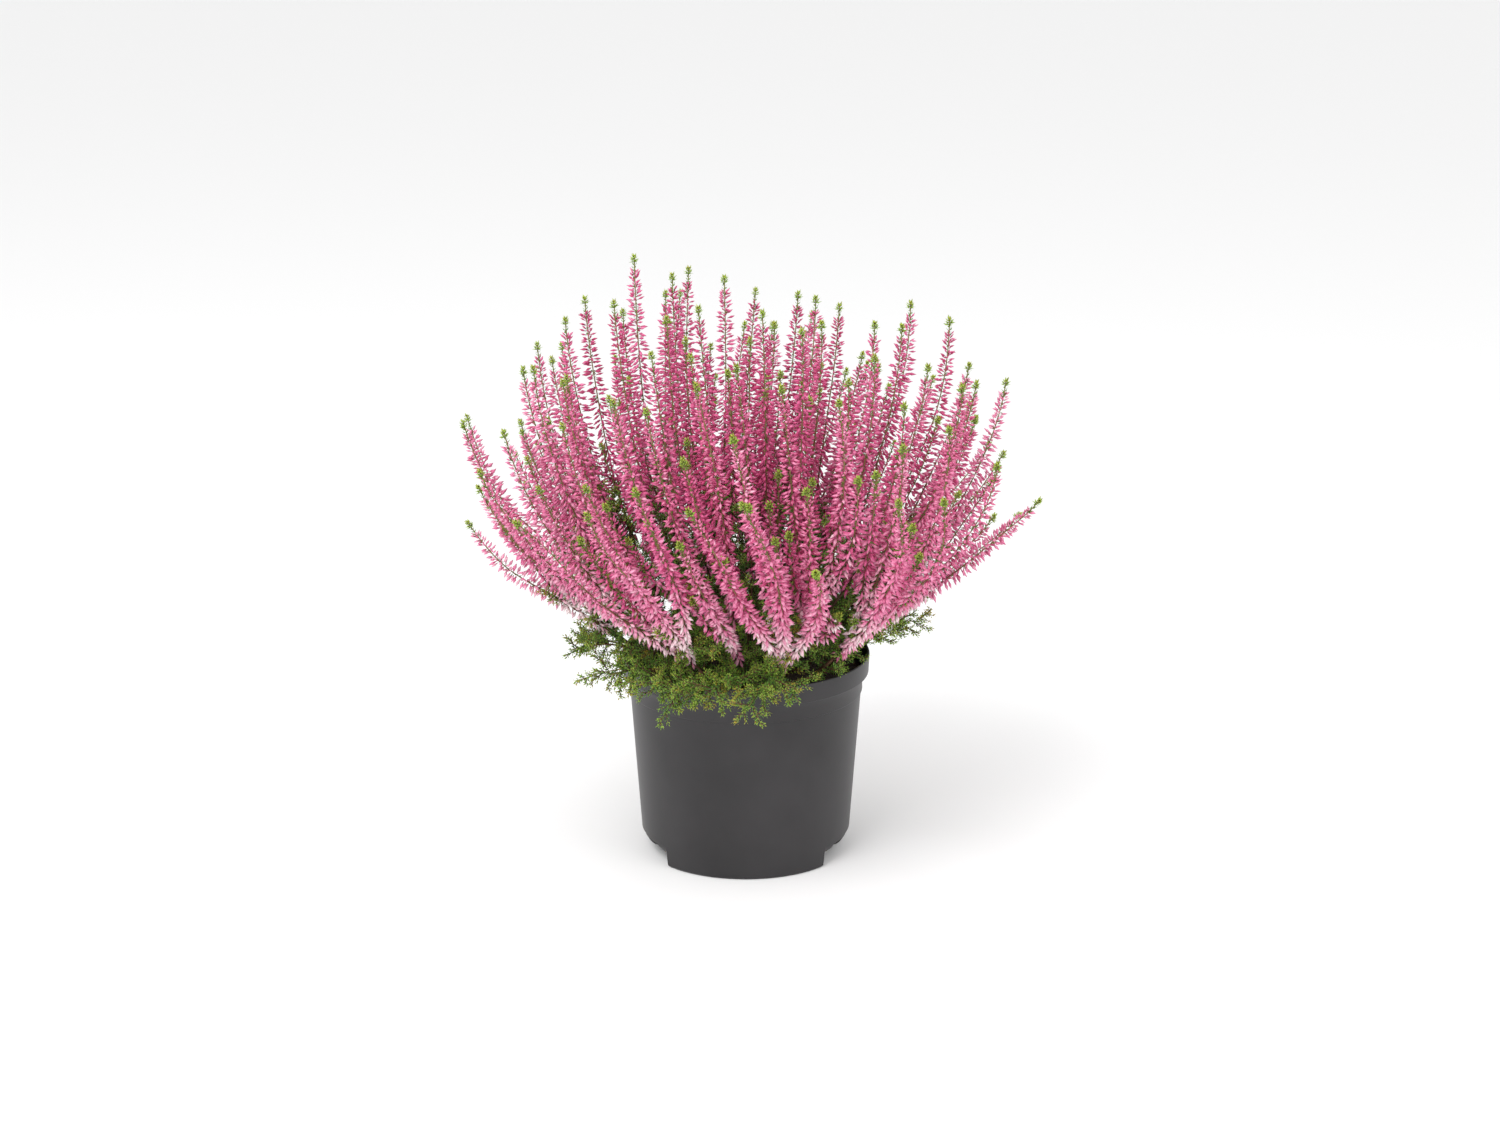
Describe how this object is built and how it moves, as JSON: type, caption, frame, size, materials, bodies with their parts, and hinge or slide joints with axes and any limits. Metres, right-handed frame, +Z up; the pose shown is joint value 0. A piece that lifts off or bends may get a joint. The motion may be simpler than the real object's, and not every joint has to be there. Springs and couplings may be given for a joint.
{
  "type": "potted heather",
  "caption": "Pink bud-flowering heather: upright flower spikes fan out over low leafy shoots from a plain dark grey nursery pot filled with soil.",
  "frame": {"origin": "middle of the flat face under the pot, on its axis, where it stands", "axes": "+Z up along the pot's axis; -Y is the side seen in the picture; +X to its right"},
  "size_m": [0.2762, 0.2696, 0.2901],
  "materials": {
    "pot_plastic": "satin dark grey injection-moulded plastic with fine scuffs",
    "peat": null,
    "flower_spray": null,
    "leafy_stem": null
  },
  "bodies": {
    "root": {"pot": "pot_plastic", "soil": "peat", "spray_01": "flower_spray", "spray_02": "flower_spray", "spray_03": "flower_spray", "spray_04": "flower_spray", "spray_05": "flower_spray", "spray_06": "flower_spray", "spray_07": "flower_spray", "spray_08": "flower_spray", "spray_09": "flower_spray", "spray_10": "flower_spray", "spray_11": "flower_spray", "spray_12": "flower_spray", "spray_13": "flower_spray", "spray_14": "flower_spray", "spray_15": "flower_spray", "spray_16": "flower_spray", "spray_17": "flower_spray", "spray_18": "flower_spray", "spray_19": "flower_spray", "spray_20": "flower_spray", "spray_21": "flower_spray", "spray_22": "flower_spray", "spray_23": "flower_spray", "spray_24": "flower_spray", "spray_25": "flower_spray", "spray_26": "flower_spray", "spray_27": "flower_spray", "spray_28": "flower_spray", "spray_29": "flower_spray", "spray_30": "flower_spray", "spray_31": "flower_spray", "spray_32": "flower_spray", "spray_33": "flower_spray", "spray_34": "flower_spray", "spray_35": "flower_spray", "spray_36": "flower_spray", "spray_37": "flower_spray", "spray_38": "flower_spray", "spray_39": "flower_spray", "spray_40": "flower_spray", "spray_41": "flower_spray", "spray_42": "flower_spray", "leafy_shoot_01": "leafy_stem", "leafy_shoot_02": "leafy_stem", "leafy_shoot_03": "leafy_stem", "leafy_shoot_04": "leafy_stem", "leafy_shoot_05": "leafy_stem", "leafy_shoot_06": "leafy_stem", "leafy_shoot_07": "leafy_stem", "leafy_shoot_08": "leafy_stem", "leafy_shoot_09": "leafy_stem", "leafy_shoot_10": "leafy_stem", "leafy_shoot_11": "leafy_stem"}
  },
  "joints": []
}
